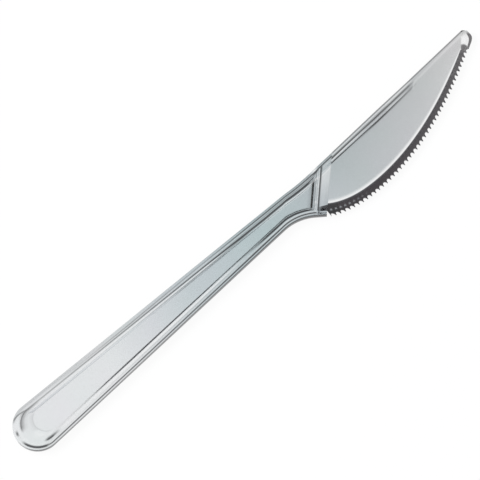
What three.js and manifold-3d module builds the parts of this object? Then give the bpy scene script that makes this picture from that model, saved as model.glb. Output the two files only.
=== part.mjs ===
// A disposable table knife, one injection moulding in clear polystyrene, lying flat on its rim.
// Millimetres. +X runs from the butt of the handle to the tip, the cutting edge faces -Y and +Z is up.
// Both faces are alike: a rimmed handle with a sunk panel, a slanted bolster, and a thin blade with a
// spine rib, a bevelled cutting band and moulded teeth.

import * as THREE from 'three';
import { mergeVertices } from 'three/addons/utils/BufferGeometryUtils.js';
import Module from 'manifold-3d';

// Handle outline
const HANDLE_LENGTH = 118.2; // butt to the lip corner under the blade
const BUTT_RADIUS = 7.7;
const HANDLE_TAPER = 1.98; // degrees on each side
const NECK_RADIUS = 15; // lower side, where it sweeps out to the lip
const LIP_ANGLE = 38; // degrees below the axis
const LIP_RUN = 3.4; // straight run that ends in the lip corner

// Handle section
const THICKNESS = 3.2; // over the rims of both faces
const EDGE_ROUND = 0.6; // radius along the outer edges
const PANEL_THICKNESS = 1.5;
const RIM_LAND = 2; // flat top of the rim
const RIM_SLOPE_AT_BUTT = 1.5; // width of the slope down to the panel
const RIM_SLOPE_AT_NECK = 0.8;
const BUTT_LAND = 2.8;
const BUTT_SLOPE = 4.2;

// Bolster, the slanted bar between handle and blade
const BOLSTER_ANGLE = 43.5; // degrees from the axis
const BOLSTER_LAND = 0.95;
const BOLSTER_SLOPE = 1.4; // on the handle side
const BOLSTER_RAMP = 2.9; // on the blade side
const LIP_RIM = 1.2; // rim left along the lip, below the bolster
const LIP_CLEFT = 0.4; // how far the cleft beside the first tooth reaches past that rim

// Blade
const BLADE_LENGTH = 71.8; // lip corner to tip
const BLADE_WIDTH = 18.78; // spine to tooth tips at the belly
const BLADE_THICKNESS = 1.8;
const SPINE_HEIGHT = 3.57; // above the handle's axis, over the lip corner
const SPINE_RISE = 2.5; // degrees above the axis
const SPINE_DIP = 5; // length on each side of the soft dip between handle and spine
const RIB_LAND = 1.1;
const RIB_SLOPE = 1.3;
const RIB_REACH = 47.5; // lip corner to the end of the spine rib
const RIB_FADE = 14; // length over which the rib runs down to the blade

// Cutting edge
const ROOT_FORWARD = 0.9; // first tooth past the lip corner
const ROOT_DROP = 1.1; // and below it
const ROOT_ANGLE = 26; // degrees below the axis
const BELLY_REACH = 18.6; // lip corner to the lowest point
const TIP_ANGLE = 28.5; // degrees above the axis
const ROOT_PULL = 0.36; // pull of the curve from root to belly, as a share of its length in X
const BELLY_PULL = 0.4; // pull of the next curve at the belly, likewise
const TIP_PULL = 0.25; // and at its end
const EDGE_THICKNESS = 0.25; // just outside the tooth points
const BAND_AT_ROOT = 3.35;
const BAND_AT_TIP = 2.1;
const BAND_FLARE = 0.75; // added width at the very root
const FLARE_POWER = 12; // how fast that width is gone, as a power of the share of the edge still to come
const HEEL_RISE = 1.4; // height of the band's blunt end above the lip rim, at the bolster
const CLEFT_RISE = 1.8; // and beside the cleft
const TOOTH_PITCH = 1.56;
const TOOTH_DEPTH = 1;
const TOOTH_POINT = 0.2;

// Nose, the small blunt end past the last tooth
const NOSE_LENGTH = 3.5;
const NOSE_WIDTH = 5.85;
const NOSE_CHAMFER = 1.15;
const NOSE_FLANK = 0.75; // straight share of its lower side
const NOSE_SHOULDER = 0.3; // spine left between the chamfer and the bevelled end
const NOSE_DROP = 0.15; // how far the nose stands out past the line of the teeth
const NOTCH_WIDTH = 1.4; // between the nose and the last tooth
const NOTCH_DEPTH = 0.8;

// Fineness of the facets
const ARC_STEPS = 12;
const ROUND_STEPS = 2;
const BELLY_STEPS = 12;
const GULLET_STEPS = 6;

const OVERSHOOT = 0.3; // how far a cutter stands clear of the face it cuts
const HAIR = 0.02;
const SAME_POINT = 0.0001; // two corners nearer than this are one
const WELD = 0.00001;
const PAST_POINT = 0.2; // share of a gullet between a tooth point and the start of a facet of the bevel
const MARGIN = 6; // how far a cutter reaches past the outline
const FLOOR_RISE = 0.1; // rise of the band's blunt end on the cutter's floor, as a share of its whole rise
const FACET_FROM = 0.02; // where the nose's facet begins, as a share of its run from ridge to spine
const FACET_TO = 1.1;
const SKIRT = 0.2; // how far outside the tooth points the bevel begins

const wasm = await Module();
wasm.setup();

const radians = THREE.MathUtils.degToRad;
const vec = (x, y) => new THREE.Vector2(x, y);
const heading = (degrees) => vec(Math.cos(radians(degrees)), Math.sin(radians(degrees)));

// A straight line is a point and a unit direction. Its left side is the side at +90 degrees.
const lineThrough = (point, degrees) => ({ point, along: heading(degrees) });

function moved(line, toTheLeft) {
  const left = vec(-line.along.y, line.along.x);
  return { point: line.point.clone().addScaledVector(left, toTheLeft), along: line.along };
}

function crossing(a, b) {
  const gap = b.point.clone().sub(a.point);
  const reach = gap.cross(b.along) / a.along.cross(b.along);
  return a.point.clone().addScaledVector(a.along, reach);
}

// Where a line comes out of a circle
function leaving(line, centre, radius) {
  const gap = centre.clone().sub(line.point);
  const reach = gap.dot(line.along) + Math.sqrt(radius ** 2 - gap.cross(line.along) ** 2);
  return line.point.clone().addScaledVector(line.along, reach);
}

// Lines and points that the whole outline is hung on

const buttCentre = vec(BUTT_RADIUS, 0);
const upperSide = moved(lineThrough(buttCentre, -HANDLE_TAPER), BUTT_RADIUS);
const lowerSide = moved(lineThrough(buttCentre, HANDLE_TAPER), -BUTT_RADIUS);

const neckSweep = NECK_RADIUS * (Math.sin(radians(HANDLE_TAPER)) + Math.sin(radians(LIP_ANGLE)));
const neckX = HANDLE_LENGTH - LIP_RUN * heading(LIP_ANGLE).x - neckSweep;
const neckStart = crossing(lowerSide, lineThrough(vec(neckX, 0), 90));
const neckCentre = moved({ point: neckStart, along: lowerSide.along }, -NECK_RADIUS).point;
const lipStart = neckCentre.clone().addScaledVector(heading(90 - LIP_ANGLE), NECK_RADIUS);
const lipLine = lineThrough(lipStart, -LIP_ANGLE);
const lipCorner = lipStart.clone().addScaledVector(lipLine.along, LIP_RUN);

const bladeFoot = lineThrough(lipCorner, BOLSTER_ANGLE); // where the blade side ramp meets the blade
const bladeEdge = moved(bladeFoot, BOLSTER_RAMP); // top of that ramp
const lipSide = moved(lipLine, LIP_RIM);
const lipEnd = crossing(bladeFoot, lipSide);
const cleft = lipEnd.clone().addScaledVector(bladeFoot.along, LIP_CLEFT);

const spine = lineThrough(vec(HANDLE_LENGTH, SPINE_HEIGHT), SPINE_RISE);
const onLine = (line, x) => crossing(line, lineThrough(vec(x, 0), 90));
const onSpine = (x) => onLine(spine, x);

const tipX = HANDLE_LENGTH + BLADE_LENGTH;
const noseTop = onSpine(tipX - NOSE_CHAMFER);
const noseLow = vec(tipX - NOSE_LENGTH, noseTop.y - NOSE_WIDTH);

// The line of the tooth tips: down from the lip, round the belly and up to the nose

function cuttingLine() {
  const root = lipCorner.clone().add(vec(ROOT_FORWARD, -ROOT_DROP));
  const belly = onSpine(lipCorner.x + BELLY_REACH).sub(vec(0, BLADE_WIDTH));
  const noseLine = lineThrough(noseLow, TIP_ANGLE);
  const end = moved(noseLine, NOSE_DROP).point.addScaledVector(noseLine.along, -NOTCH_WIDTH);
  const nearPull = ROOT_PULL * (belly.x - root.x);
  const farPull = BELLY_PULL * (end.x - belly.x);
  const endPull = TIP_PULL * (end.x - belly.x);
  const line = new THREE.CurvePath();
  line.add(new THREE.CubicBezierCurve(
    root,
    root.clone().addScaledVector(heading(-ROOT_ANGLE), nearPull),
    belly.clone().sub(vec(nearPull, 0)),
    belly,
  ));
  line.add(new THREE.CubicBezierCurve(
    belly,
    belly.clone().add(vec(farPull, 0)),
    end.clone().addScaledVector(heading(TIP_ANGLE), -endPull),
    end,
  ));
  return line;
}

const cutting = cuttingLine();
const toothCount = Math.round(cutting.getLength() / TOOTH_PITCH);

function inwardFrom(line, share, distance) {
  const along = line.getTangentAt(share);
  return line.getPointAt(share).addScaledVector(vec(-along.y, along.x), distance);
}

// Each gullet is half an ellipse between two tooth points, and all teeth point straight across the knife.
function toothPoints() {
  const halfPoint = TOOTH_POINT / TOOTH_PITCH / 2;
  const points = [cutting.getPointAt(0)];
  for (let tooth = 0; tooth < toothCount; tooth += 1) {
    const before = cutting.getPointAt(tooth / toothCount);
    const after = cutting.getPointAt((tooth + 1) / toothCount);
    for (let step = 0; step <= GULLET_STEPS; step += 1) {
      const turn = Math.PI * step / GULLET_STEPS;
      const across = 0.5 - (0.5 - halfPoint) * Math.cos(turn);
      points.push(before.clone().lerp(after, across).add(vec(0, TOOTH_DEPTH * Math.sin(turn))));
    }
  }
  points.push(cutting.getPointAt(1));
  return points;
}

// The knife with enough left along the edge to cut the teeth from
function blankOutline() {
  const quarter = Math.PI / 2;
  const taper = radians(HANDLE_TAPER);
  const middle = vec(tipX, noseLow.y + NOSE_WIDTH / 2);
  const noseLine = lineThrough(noseLow, TIP_ANGLE).along;
  const flank = noseLow.clone().addScaledVector(noseLine, NOSE_FLANK * NOSE_LENGTH);
  const dipStart = onSpine(HANDLE_LENGTH + SPINE_DIP);
  const dipEnd = onLine(upperSide, HANDLE_LENGTH - SPINE_DIP);
  const outline = new THREE.Shape();
  outline.absarc(buttCentre.x, buttCentre.y, BUTT_RADIUS, quarter - taper, -quarter + taper);
  outline.absarc(neckCentre.x, neckCentre.y, NECK_RADIUS, quarter + taper, radians(90 - LIP_ANGLE), true);
  outline.lineTo(lipCorner.x + lipLine.along.x, lipCorner.y + lipLine.along.y);
  for (let step = 0; step <= BELLY_STEPS; step += 1) {
    const point = inwardFrom(cutting, step / BELLY_STEPS, -TOOTH_DEPTH);
    outline.lineTo(point.x, point.y);
  }
  outline.lineTo(noseLow.x - noseLine.x, noseLow.y - noseLine.y);
  outline.lineTo(flank.x, flank.y);
  outline.quadraticCurveTo(middle.x, (flank.y + middle.y) / 2, middle.x, middle.y);
  outline.lineTo(tipX, noseTop.y - NOSE_CHAMFER);
  outline.lineTo(noseTop.x, noseTop.y);
  outline.lineTo(dipStart.x, dipStart.y);
  outline.quadraticCurveTo(spine.point.x, spine.point.y, dipEnd.x, dipEnd.y);
  return outline;
}

// All that lies outside the row of teeth, from the lip to the notch beside the nose
function teethOutline() {
  const foot = lipCorner.clone().addScaledVector(bladeFoot.along, -MARGIN);
  const notch = cutting.getPointAt(1).lerp(noseLow, 0.5).add(vec(0, 2 * NOTCH_DEPTH));
  const below = moved(lineThrough(noseLow, TIP_ANGLE), -SKIRT).point;
  const outline = new THREE.Shape([foot, cleft, ...toothPoints()]);
  outline.quadraticCurveTo(notch.x, notch.y, below.x, below.y);
  outline.lineTo(below.x, foot.y - BLADE_WIDTH);
  outline.lineTo(foot.x, foot.y - BLADE_WIDTH);
  return outline;
}

// The sunk panel's outline, at given distances inside the rim, the butt and the bolster
function panelOutline(insetAtButt, insetAtNeck, buttEnd, bolsterSetback) {
  const quarter = Math.PI / 2;
  const buttHigh = onLine(moved(upperSide, -insetAtButt), BUTT_RADIUS);
  const neckHigh = onLine(moved(upperSide, -insetAtNeck), neckX);
  const slope = neckHigh.clone().sub(buttHigh);
  const taper = -Math.atan2(slope.y, slope.x);
  const tangent = buttHigh.y * Math.cos(taper) + BUTT_RADIUS * Math.sin(taper);
  const centreX = (buttEnd + tangent) / (1 + Math.sin(taper));
  const bolster = moved(bladeEdge, bolsterSetback);
  const neckRadius = NECK_RADIUS + insetAtNeck;
  const low = leaving(bolster, neckCentre, neckRadius);
  const lowAngle = low.clone().sub(neckCentre).angle();
  const high = crossing(bolster, { point: buttHigh, along: slope.normalize() });
  const outline = new THREE.Shape();
  outline.absarc(centreX, 0, centreX - buttEnd, quarter - taper, -quarter + taper);
  outline.absarc(neckCentre.x, neckCentre.y, neckRadius, quarter + radians(HANDLE_TAPER), lowAngle, true);
  outline.lineTo(high.x, high.y);
  return outline.getPoints(ARC_STEPS);
}

// Corners that every blade cutter shares, outside the knife
const inCleft = lipEnd.clone().addScaledVector(lipSide.along, LIP_CLEFT / 4);
const farLow = vec(tipX + MARGIN, lipCorner.y - BLADE_WIDTH);
const nearLow = vec(inCleft.x, lipCorner.y - BLADE_WIDTH);

// The blade's recess, from the bolster to past the tip, and from the spine rib to past the edge
function bladeOutline(bolster, ribWidth, ribEnd) {
  const under = moved(spine, -ribWidth);
  const over = moved(spine, MARGIN);
  const endX = lipCorner.x + ribEnd;
  return [
    nearLow,
    farLow,
    onLine(over, farLow.x),
    onLine(over, endX),
    onLine(under, endX),
    crossing(under, bolster),
    crossing(bolster, lipSide),
    inCleft,
  ];
}

// What the bevel takes off: all that lies outside a line set inward from the tooth points, ending in one
// flat facet across the nose
function bandOutline(inset, cleftRise, facetStart, facetEnd) {
  const outline = [cleft.clone().addScaledVector(bladeFoot.along, cleftRise)];
  for (let tooth = PAST_POINT; tooth < toothCount; tooth += 1) {
    outline.push(inwardFrom(cutting, tooth / toothCount, inset(tooth / toothCount)));
  }
  outline.push(inwardFrom(cutting, 1, inset(1)));
  const over = moved(spine, MARGIN);
  outline.push(facetStart, facetEnd, onLine(over, facetEnd.x), onLine(over, farLow.x));
  outline.push(farLow, nearLow, inCleft);
  return outline.reverse();
}

// A closed cutter whose sides slope from the floor's outline out to the mouth's, point for point. They keep
// their slope a hair past the mouth, so that no edge lies in the face being cut, and then stand straight.
function slopedCutter(floor, mouth, zFloor, zMouth) {
  const heights = [zFloor, zMouth + HAIR, zMouth + OVERSHOOT];
  const carriedOn = HAIR / (zMouth - zFloor);
  const above = mouth.map((point, i) => point.clone().lerp(floor[i], -carriedOn));
  const geometry = new THREE.ExtrudeGeometry(new THREE.Shape(floor), {
    depth: 2,
    steps: 2,
    bevelEnabled: false,
  });
  const position = geometry.getAttribute('position');
  for (let i = 0; i < position.count; i += 1) {
    const level = Math.round(position.getZ(i));
    position.setZ(i, heights[level]);
    if (level === 0) continue;
    const here = vec(position.getX(i), position.getY(i));
    const match = floor.findIndex((point) => point.distanceTo(here) < SAME_POINT);
    position.setXY(i, above[match].x, above[match].y);
  }
  return geometry;
}

// The same cutter for the other face
function flippedOver(geometry) {
  const other = geometry.clone().scale(1, 1, -1).translate(0, 0, THICKNESS);
  const position = other.getAttribute('position');
  for (let i = 0; i < position.count; i += 3) {
    const first = new THREE.Vector3().fromBufferAttribute(position, i);
    const last = new THREE.Vector3().fromBufferAttribute(position, i + 2);
    position.setXYZ(i, last.x, last.y, last.z);
    position.setXYZ(i + 2, first.x, first.y, first.z);
  }
  return other;
}

function toSolid(geometry) {
  const bare = geometry.clone();
  bare.deleteAttribute('normal');
  bare.deleteAttribute('uv');
  const merged = mergeVertices(bare, WELD);
  return new wasm.Manifold(new wasm.Mesh({
    numProp: 3,
    vertProperties: merged.getAttribute('position').array,
    triVerts: new Uint32Array(merged.getIndex().array),
  }));
}

function toGeometry(solid) {
  const mesh = solid.getMesh();
  const geometry = new THREE.BufferGeometry();
  geometry.setAttribute('position', new THREE.BufferAttribute(mesh.vertProperties, 3));
  geometry.setIndex(new THREE.BufferAttribute(mesh.triVerts, 1));
  geometry.computeVertexNormals();
  return geometry;
}

const panelZ = (THICKNESS + PANEL_THICKNESS) / 2;
const bladeZ = (THICKNESS + BLADE_THICKNESS) / 2;
const edgeZ = (THICKNESS + EDGE_THICKNESS) / 2;

function panelCutter() {
  const floor = panelOutline(
    RIM_LAND + RIM_SLOPE_AT_BUTT,
    RIM_LAND + RIM_SLOPE_AT_NECK,
    BUTT_LAND + BUTT_SLOPE,
    BOLSTER_LAND + BOLSTER_SLOPE,
  );
  const mouth = panelOutline(RIM_LAND, RIM_LAND, BUTT_LAND, BOLSTER_LAND);
  return slopedCutter(floor, mouth, panelZ, THICKNESS);
}

function recessCutter() {
  const floor = bladeOutline(bladeFoot, RIB_LAND + RIB_SLOPE, RIB_REACH);
  const mouth = bladeOutline(bladeEdge, RIB_LAND, RIB_REACH - RIB_FADE);
  return slopedCutter(floor, mouth, bladeZ, THICKNESS);
}

function bandWidth(share) {
  const flare = BAND_FLARE * (1 - share) ** FLARE_POWER;
  return THREE.MathUtils.lerp(BAND_AT_ROOT, BAND_AT_TIP, share) + flare;
}

function bandCutter() {
  const ridgeEnd = inwardFrom(cutting, 1, BAND_AT_TIP);
  const facetRun = onSpine(noseTop.x - NOSE_SHOULDER).sub(ridgeEnd);
  const facetFoot = moved(lineThrough(noseLow, TIP_ANGLE), -SKIRT).point;
  const facetHead = facetFoot.clone().add(facetRun);
  const floor = bandOutline(() => -SKIRT, FLOOR_RISE * CLEFT_RISE, facetFoot, facetHead);
  const mouth = bandOutline(
    bandWidth,
    CLEFT_RISE,
    ridgeEnd.clone().addScaledVector(facetRun, FACET_FROM),
    ridgeEnd.clone().addScaledVector(facetRun, FACET_TO),
  );
  return slopedCutter(floor, mouth, edgeZ, bladeZ);
}

// The blunt end of the band, sunk into the foot of the bolster beside the lip rim
function heelCutter() {
  const heel = crossing(bladeEdge, lipSide);
  const overlap = cleft.clone().addScaledVector(lipSide.along, LIP_CLEFT);
  const rising = (point, rise) => point.clone().addScaledVector(bladeFoot.along, rise);
  const climb = (THICKNESS - edgeZ) / (bladeZ - edgeZ);
  const floor = [
    heel,
    inCleft,
    rising(overlap, FLOOR_RISE * CLEFT_RISE),
    rising(heel, FLOOR_RISE * HEEL_RISE),
  ];
  const mouth = [heel, inCleft, rising(overlap, climb * CLEFT_RISE), rising(heel, HEEL_RISE)];
  return slopedCutter(floor, mouth, edgeZ, THICKNESS);
}

function blank() {
  const geometry = new THREE.ExtrudeGeometry(blankOutline(), {
    depth: THICKNESS - 2 * EDGE_ROUND,
    bevelSize: EDGE_ROUND,
    bevelThickness: EDGE_ROUND,
    bevelOffset: -EDGE_ROUND,
    bevelSegments: ROUND_STEPS,
    curveSegments: ARC_STEPS,
  });
  return geometry.translate(0, 0, EDGE_ROUND);
}

function teethCutter() {
  const geometry = new THREE.ExtrudeGeometry(teethOutline(), {
    depth: THICKNESS + 2 * OVERSHOOT,
    bevelEnabled: false,
    curveSegments: ARC_STEPS,
  });
  return geometry.translate(0, 0, -OVERSHOOT);
}

function knifeGeometry() {
  let solid = toSolid(blank()).subtract(toSolid(teethCutter()));
  for (const cutter of [panelCutter(), recessCutter(), bandCutter(), heelCutter()]) {
    solid = solid.subtract(toSolid(cutter)).subtract(toSolid(flippedOver(cutter)));
  }
  return toGeometry(solid);
}

const clearPolystyrene = new THREE.MeshStandardMaterial({
  color: 0xc3cbcf,
  roughness: 0.08,
  metalness: 0,
});

const knife = new THREE.Mesh(knifeGeometry(), clearPolystyrene);
knife.name = 'knife';

// The origin is under the middle of the knife's box, on the surface that it lies on.
const box = new THREE.Box3().setFromObject(knife);
const middle = box.getCenter(new THREE.Vector3());
knife.position.set(-middle.x, -middle.y, -box.min.z);

const part = new THREE.Group();
part.add(knife);

export default part;
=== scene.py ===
# %% [markdown]
# # A clear plastic table knife
# The real thing is one injection moulding in clear polystyrene, about 190 mm long. It lies flat on the
# rim of its handle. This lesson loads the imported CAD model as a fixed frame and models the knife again,
# with the rounded edges, the run-out of the spine rib and the moulded teeth that the light picks out.
# Then it gives the knife a clear plastic, and lights it softly on a white floor.

import math

import bmesh
import bpy
from mathutils import Matrix, Vector


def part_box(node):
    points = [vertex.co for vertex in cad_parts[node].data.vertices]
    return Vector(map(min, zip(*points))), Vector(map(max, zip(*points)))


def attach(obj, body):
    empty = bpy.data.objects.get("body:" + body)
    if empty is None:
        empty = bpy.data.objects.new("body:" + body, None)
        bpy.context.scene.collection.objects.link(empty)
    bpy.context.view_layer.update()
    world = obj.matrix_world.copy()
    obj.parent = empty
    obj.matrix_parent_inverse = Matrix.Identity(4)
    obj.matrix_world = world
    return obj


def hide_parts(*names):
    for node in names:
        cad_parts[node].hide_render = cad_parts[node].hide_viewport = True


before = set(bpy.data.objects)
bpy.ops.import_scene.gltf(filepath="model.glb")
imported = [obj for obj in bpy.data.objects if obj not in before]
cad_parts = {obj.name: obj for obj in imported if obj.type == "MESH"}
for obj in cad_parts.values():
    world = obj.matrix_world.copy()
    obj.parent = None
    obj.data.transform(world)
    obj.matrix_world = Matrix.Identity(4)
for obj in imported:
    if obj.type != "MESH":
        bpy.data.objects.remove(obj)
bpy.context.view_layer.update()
low_corner, high_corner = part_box("knife")
print("CAD box in mm:", [round(1000 * side, 2) for side in high_corner - low_corner])

# %% [markdown]
# ## Sizes
# The sizes are those of the CAD part, in millimetres, measured from the butt end and from the handle's
# axis. The tip is at 190 mm and the cutting edge faces -Y. Both faces are alike about mid-thickness, so
# only the upper face is modelled, and the lower one is its mirror image. Angles, the handle's taper and
# the spine's rise are in degrees. A pull is a share of the run of the curve that it shapes, and the
# skirt is how far outside the tooth points the band would come down to the thickness of the edge.

# %% Sizes of the handle
HANDLE_LENGTH = 118.2
BUTT_RADIUS = 7.7
HANDLE_TAPER = 1.98
NECK_RADIUS = 15
LIP_ANGLE = 38
LIP_RUN = 3.4
THICKNESS = 3.2
EDGE_ROUND = 0.6
PANEL_THICKNESS = 1.5
RIM_LAND = 2
RIM_SLOPE_AT_BUTT = 1.5
RIM_SLOPE_AT_NECK = 0.8
BUTT_LAND = 2.8
BUTT_SLOPE = 4.2
BOLSTER_ANGLE = 43.5
BOLSTER_LAND = 0.95
BOLSTER_SLOPE = 1.4
BOLSTER_RAMP = 2.9
LIP_RIM = 1.2
LIP_CLEFT = 0.4
print("handle in mm:", HANDLE_LENGTH, "long,", 2 * BUTT_RADIUS, "wide at the butt")

# %% Sizes of the blade
BLADE_LENGTH = 71.8
BLADE_WIDTH = 18.78
BLADE_THICKNESS = 1.8
SPINE_HEIGHT = 3.57
SPINE_RISE = 2.5
SPINE_DIP = 5
RIB_LAND = 1.1
RIB_SLOPE = 1.3
RIB_END = 166
RIB_FADE = 16
ROOT_FORWARD = 0.9
ROOT_DROP = 1.1
ROOT_ANGLE = 26
BELLY_REACH = 18.6
TIP_ANGLE = 28.5
ROOT_PULL = 0.36
BELLY_PULL = 0.4
TIP_PULL = 0.25
EDGE_THICKNESS = 0.25
BAND_AT_ROOT = 3.35
BAND_AT_TIP = 2.1
BAND_FLARE = 0.75
FLARE_POWER = 12
HEEL_RISE = 1.4
CLEFT_RISE = 1.8
TOOTH_PITCH = 1.56
TOOTH_DEPTH = 1
TOOTH_POINT = 0.2
NOSE_LENGTH = 3.5
NOSE_WIDTH = 5.85
NOSE_CHAMFER = 1.15
NOSE_FLANK = 0.75
NOSE_SHOULDER = 0.3
NOSE_DROP = 0.15
NOTCH_WIDTH = 1.4
NOTCH_DEPTH = 0.8
SKIRT = 0.2

TIP = HANDLE_LENGTH + BLADE_LENGTH
MIDDLE = THICKNESS / 2
PANEL_TOP = (THICKNESS + PANEL_THICKNESS) / 2
BLADE_TOP = (THICKNESS + BLADE_THICKNESS) / 2
EDGE_TOP = (THICKNESS + EDGE_THICKNESS) / 2
FILLET = 0.16
print("tip at", TIP, "mm; tops of panel, blade and edge:", PANEL_TOP, BLADE_TOP, EDGE_TOP)

# %% [markdown]
# ## Lines to draw on
# A moulded outline is easiest to hold as a few straight lines and arcs. A line here is a point and a
# direction, and its left side is the side at +90 degrees. Each corner is where two lines cross.


# %% Straight lines and their crossings
def heading(degrees):
    return Vector((math.cos(math.radians(degrees)), math.sin(math.radians(degrees))))


def line_through(point, degrees):
    return Vector(point), heading(degrees)


def moved(line, to_the_left):
    point, along = line
    return point + to_the_left * Vector((-along.y, along.x)), along


def crossing(one, other):
    gap = other[0] - one[0]
    return one[0] + one[1] * (gap.cross(other[1]) / one[1].cross(other[1]))


def at_x(line, x):
    return crossing(line, line_through((x, 0), 90))


# %% The lines of this knife
butt_centre = Vector((BUTT_RADIUS, 0))
upper_side = moved(line_through(butt_centre, -HANDLE_TAPER), BUTT_RADIUS)
lower_side = moved(line_through(butt_centre, HANDLE_TAPER), -BUTT_RADIUS)
sweep = NECK_RADIUS * (heading(HANDLE_TAPER).y + heading(LIP_ANGLE).y)
NECK = HANDLE_LENGTH - LIP_RUN * heading(LIP_ANGLE).x - sweep
neck_start = at_x(lower_side, NECK)
neck_centre = moved((neck_start, lower_side[1]), -NECK_RADIUS)[0]
lip_start = neck_centre + NECK_RADIUS * heading(90 - LIP_ANGLE)
lip_line = line_through(lip_start, -LIP_ANGLE)
lip_corner = lip_start + LIP_RUN * lip_line[1]
blade_foot = line_through(lip_corner, BOLSTER_ANGLE)
lip_side = moved(lip_line, LIP_RIM)
cleft = crossing(blade_foot, lip_side) + LIP_CLEFT * blade_foot[1]
spine = line_through((HANDLE_LENGTH, SPINE_HEIGHT), SPINE_RISE)
nose_top = at_x(spine, TIP - NOSE_CHAMFER)
nose_low = Vector((TIP - NOSE_LENGTH, nose_top.y - NOSE_WIDTH))
print("lip corner in mm:", [round(v, 2) for v in lip_corner])


# %% [markdown]
# ## Curves
# The neck is an arc, the soft dip between handle and spine is a parabola, and the cutting edge is two
# Bezier curves that meet at the belly. Each curve is kept as a path: a run of close points that can be
# asked for the point at a given x or at a given share of its length.


# %% Curves as paths of close points
def arc(centre, radius, start, end, steps=24):
    turns = [start + (end - start) * step / steps for step in range(steps + 1)]
    return [centre + radius * heading(turn) for turn in turns]


def bezier(points, steps=160):
    path = []
    for step in range(steps + 1):
        row = [Vector(point) for point in points]
        while len(row) > 1:
            row = [a.lerp(b, step / steps) for a, b in zip(row, row[1:])]
        path.append(row[0])
    return path


def along_path(path, reach_of, wanted):
    """The point and the tangent of a path where reach_of, which only grows, has the wanted value."""
    low, high = 0, len(path) - 1
    while high - low > 1:
        half = (low + high) // 2
        if reach_of[half] <= wanted:
            low = half
        else:
            high = half
    step = (wanted - reach_of[low]) / (reach_of[high] - reach_of[low])
    return path[low].lerp(path[high], step), (path[high] - path[low]).normalized()


def lengths(path):
    run = [0.0]
    for a, b in zip(path, path[1:]):
        run.append(run[-1] + (b - a).length)
    return run


# %% The outline's paths
dip_start = at_x(upper_side, HANDLE_LENGTH - SPINE_DIP)
dip_end = at_x(spine, HANDLE_LENGTH + SPINE_DIP)
upper_path = [butt_centre + BUTT_RADIUS * heading(90 - HANDLE_TAPER)]
upper_path += bezier([dip_start, spine[0], dip_end], 24) + [nose_top]
upper_reach = [point.x for point in upper_path]
lower_path = [butt_centre + BUTT_RADIUS * heading(HANDLE_TAPER - 90)]
lower_path += arc(neck_centre, NECK_RADIUS, 90 + HANDLE_TAPER, 90 - LIP_ANGLE)[1:] + [lip_corner]
lower_reach = [point.x for point in lower_path]

root = lip_corner + Vector((ROOT_FORWARD, -ROOT_DROP))
belly = at_x(spine, HANDLE_LENGTH + BELLY_REACH) - Vector((0, BLADE_WIDTH))
nose_line = line_through(nose_low, TIP_ANGLE)
edge_end = moved(nose_line, NOSE_DROP)[0] - NOTCH_WIDTH * nose_line[1]
near_pull = Vector((ROOT_PULL * (belly.x - root.x), 0))
far_pull = Vector((BELLY_PULL * (edge_end.x - belly.x), 0))
end_pull = TIP_PULL * (edge_end.x - belly.x)
root_pulled = root + near_pull.x * heading(-ROOT_ANGLE)
end_pulled = edge_end - end_pull * heading(TIP_ANGLE)
cutting_path = bezier([root, root_pulled, belly - near_pull, belly])
cutting_path += bezier([belly, belly + far_pull, end_pulled, edge_end])[1:]
cutting_run = lengths(cutting_path)
tooth_count = round(cutting_run[-1] / TOOTH_PITCH)
print("teeth:", tooth_count)


# %% The cutting band and its ridge
def on_edge(share):
    return along_path(cutting_path, cutting_run, share * cutting_run[-1])


def band_width(share):
    flare = BAND_FLARE * (1 - share) ** FLARE_POWER
    return BAND_AT_ROOT + (BAND_AT_TIP - BAND_AT_ROOT) * share + flare


def ridge_at(share):
    point, along = on_edge(share)
    return point + band_width(share) * Vector((-along.y, along.x))


print("cutting edge in mm:", round(cutting_run[-1], 1), "band at the root:", band_width(0))

# %% [markdown]
# ## How the face is laid out
# The upper face is one sheet of quads, like a cloth with its threads laid along the knife's own lines.
# Columns run across the knife from the spine side to the cutting side: radial at the butt, square to
# the handle along it, turned to the bolster's slant at the bolster, and turned back on the blade.
# Rows run along the knife, and follow the rounded rim, the edge of the land and the foot of the slope,
# so that every crease is a row or a column and shades cleanly. Each side of a column has 22 rows:
# 0 to 5 climb the rounded outer edge, 6 to 11 lie on the land, 12 to 14 turn over its inner edge, 15
# and 16 are on the slope, 17 to 19 turn into the sunk face, and 20 and 21 lie on it.
#
# A place on the sheet has six numbers: x, y, its height, its tone, its band and its under-tone. The last
# three are painted light and shade in the plastic's colour. Clear plastic gathers light along some of its
# creases and loses it along others, and the tone paints this: above 0 where a crease of the upper face is
# painted dark, up to 1, and below 0 where a glint is painted on it. The band is 1 on the bevel along the
# cutting edge, whose two faces together turn the light aside, so that it is painted dark all over. It is
# below 0 where glints are painted on the creases of both faces together. The under-tone is the painted
# tone of the same place on the lower face.

# %% Easing from one value to another
# Places in a row of its painted shade, its painted band and the painted shade of the lower face
TONE = 3
BAND = 4
UNDER = 5


def between(a, b, share):
    return a + (b - a) * share


def ease(value):
    value = min(max(value, 0), 1)
    return value * value * (3 - 2 * value)


def rising(value, start, run):
    """0 up to the start, then smoothly up to 1 at the end of the run."""
    return ease((value - start) / run)


def fading(value, middle, width):
    """1 at the middle, falling smoothly to 0 at the width on either side."""
    return 1 - ease(abs(value - middle) / width)


def at_stations(x, stations, values):
    """The value at x, running straight from each station to the next."""
    value = values[0]
    for index in range(1, len(stations)):
        share = (x - stations[index - 1]) / (stations[index] - stations[index - 1])
        value += (values[index] - values[index - 1]) * min(max(share, 0), 1)
    return value


print("a quarter of the way up a rise:", rising(0.25, 0, 1))
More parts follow.
